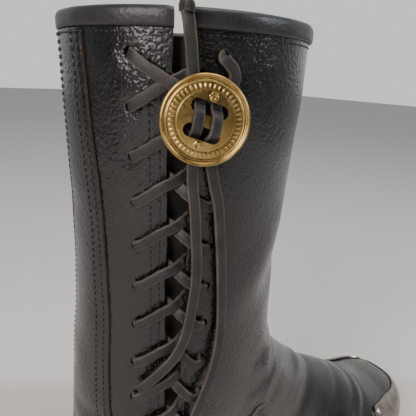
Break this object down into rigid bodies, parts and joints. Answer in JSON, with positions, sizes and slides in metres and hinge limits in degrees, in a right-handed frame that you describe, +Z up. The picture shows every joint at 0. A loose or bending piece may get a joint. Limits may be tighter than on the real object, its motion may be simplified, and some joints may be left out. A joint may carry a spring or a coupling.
{
  "type": "motorcycle boot",
  "caption": "Tall leather motorcycle boot, right foot, side laced shaft with a brass concho, welted sole, stacked heel and metal toe guard.",
  "frame": {"origin": "on the floor under the heel, on the flat face of the heel cap", "axes": "+X to the toe, +Y to the inner side of the foot, +Z up along the shaft"},
  "size_m": [0.3106, 0.1227, 0.328],
  "materials": {
    "upper_leather": "glossy black tumbled grain",
    "binding_leather": "semi-gloss black, rolled",
    "gusset_leather": "matt black",
    "lace_leather": "matt charcoal with raw brown edges",
    "insole_board": "plain tan",
    "sole_leather": "dyed and burnished edge",
    "sole_rubber": "matt black",
    "guard_metal": "dark bronze, worn",
    "rivet_metal": "bright",
    "concho_brass": "aged gold brass"
  },
  "bodies": {
    "root": {"upper": "upper_leather", "counter": "upper_leather", "backstay": "upper_leather", "collar_binding": "binding_leather", "gusset": "gusset_leather", "insole": "insole_board", "welt": "sole_leather", "outsole": "sole_rubber", "heel_stack": "sole_leather", "heel_cap": "sole_rubber", "toe_guard": "guard_metal", "guard_rivet_outer": "rivet_metal", "guard_rivet_inner": "rivet_metal", "concho": "concho_brass", "lace_crossing_1": "lace_leather", "lace_crossing_2": "lace_leather", "lace_crossing_3": "lace_leather", "lace_crossing_4": "lace_leather", "lace_crossing_5": "lace_leather", "lace_crossing_6": "lace_leather", "lace_crossing_7": "lace_leather", "lace_crossing_8": "lace_leather", "lace_crossing_9": "lace_leather", "lace_loop_rear": "lace_leather", "lace_loop_front": "lace_leather", "lace_end_rear": "lace_leather", "lace_end_front": "lace_leather", "lace_end_top": "lace_leather"}
  },
  "joints": []
}
